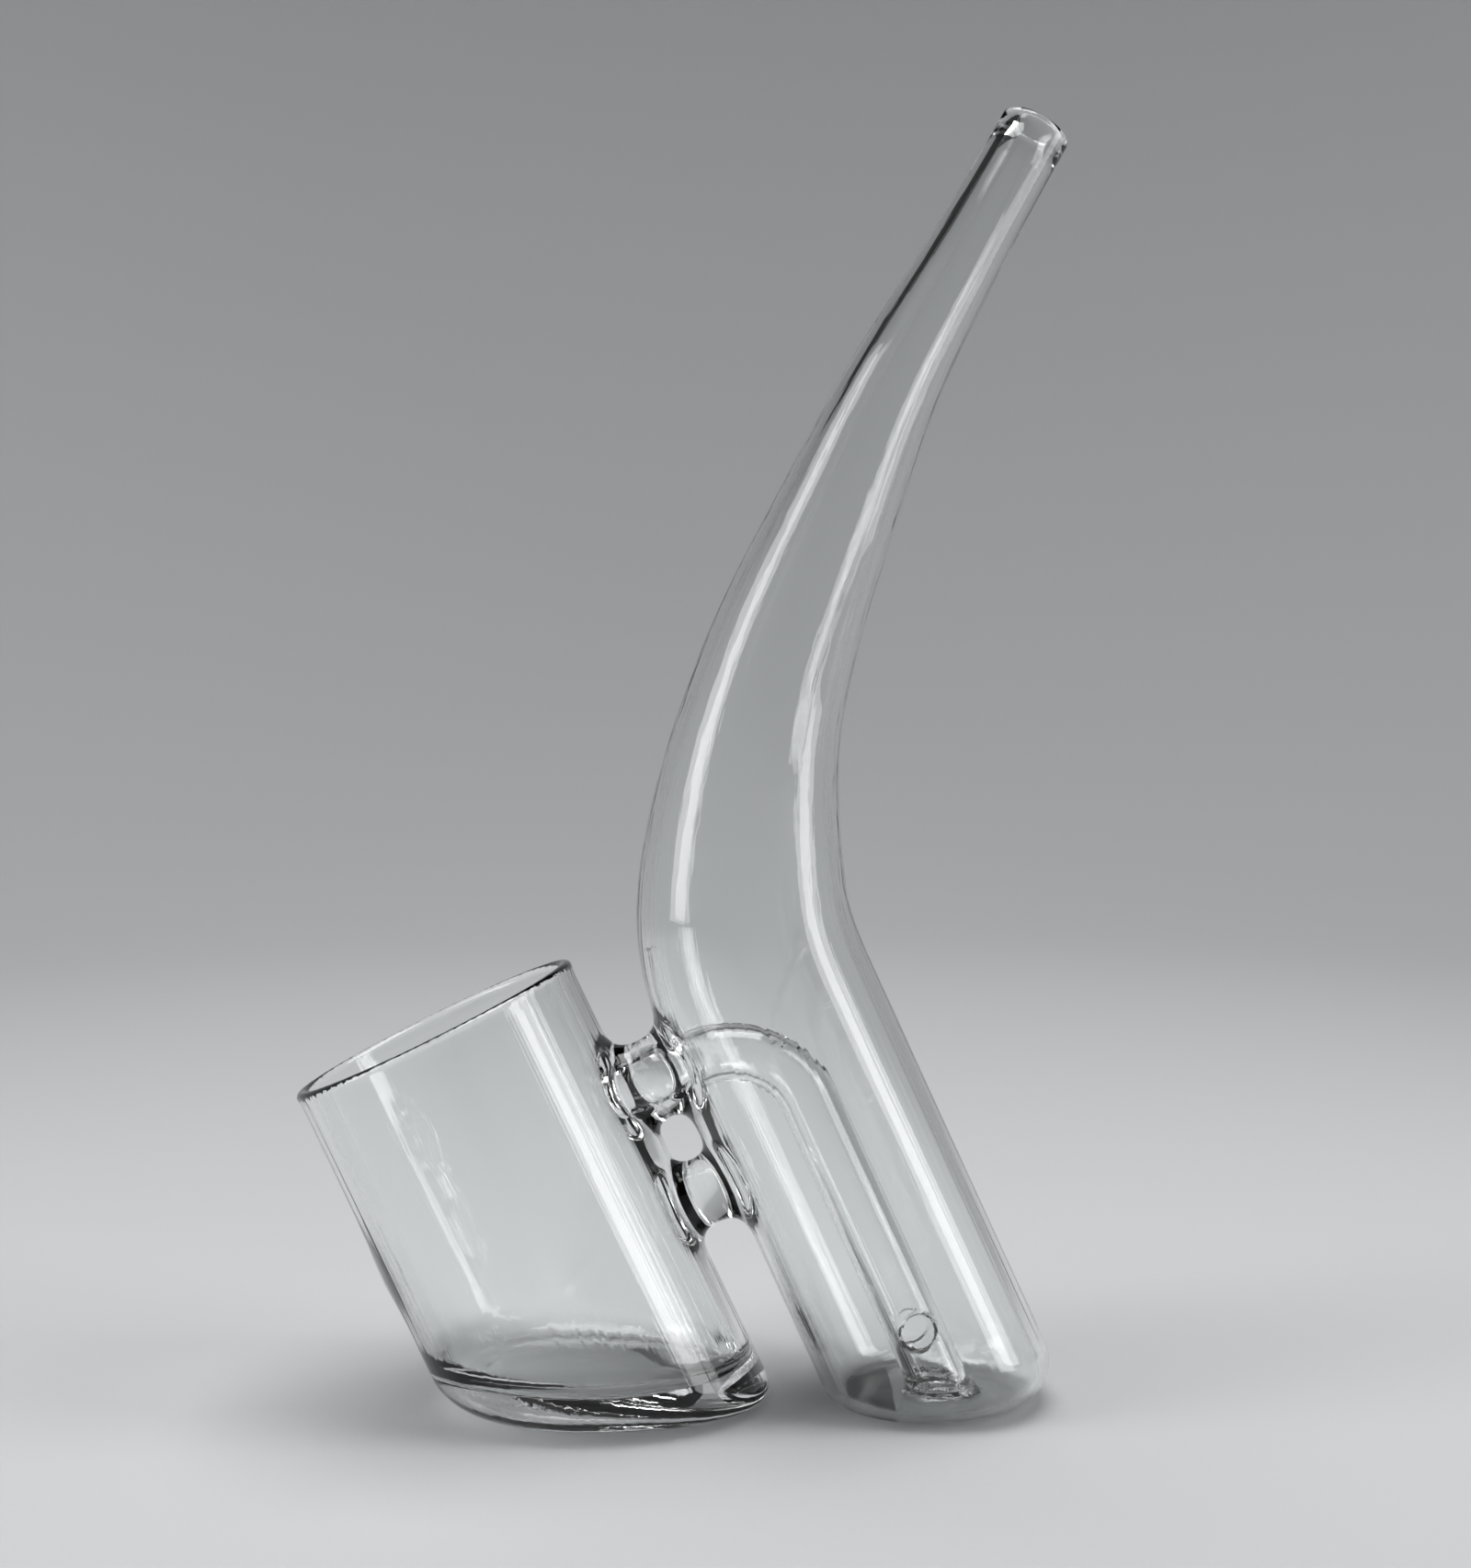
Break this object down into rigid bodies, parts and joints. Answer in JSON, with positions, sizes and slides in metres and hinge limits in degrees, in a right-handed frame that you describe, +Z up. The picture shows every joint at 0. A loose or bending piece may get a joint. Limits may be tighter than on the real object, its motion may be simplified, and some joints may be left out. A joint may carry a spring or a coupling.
{
  "type": "glass bubbler",
  "caption": "Clear glass bubbler: leaning flat-footed chamber with an inner downtube and long bent neck, joined by bridges to an open side cup.",
  "frame": {"origin": "on the chamber's flat foot, where the chamber's axis meets the table", "axes": "+Z up; +X from the cup towards the chamber; Y = 0 is the plane that holds both leaning axes and the bent neck"},
  "size_m": [0.1181, 0.0462, 0.1984],
  "materials": {
    "borosilicate_glass": "clear, fire-polished"
  },
  "bodies": {
    "root": {"cup_wall": "borosilicate_glass", "cup_base": "borosilicate_glass", "chamber_wall": "borosilicate_glass", "chamber_base": "borosilicate_glass", "shoulder": "borosilicate_glass", "neck": "borosilicate_glass", "mouthpiece": "borosilicate_glass", "airway_bridge": "borosilicate_glass", "support_bridge": "borosilicate_glass", "ring_seal": "borosilicate_glass", "downtube_elbow": "borosilicate_glass", "downtube": "borosilicate_glass", "foot_weld": "borosilicate_glass"}
  },
  "joints": []
}
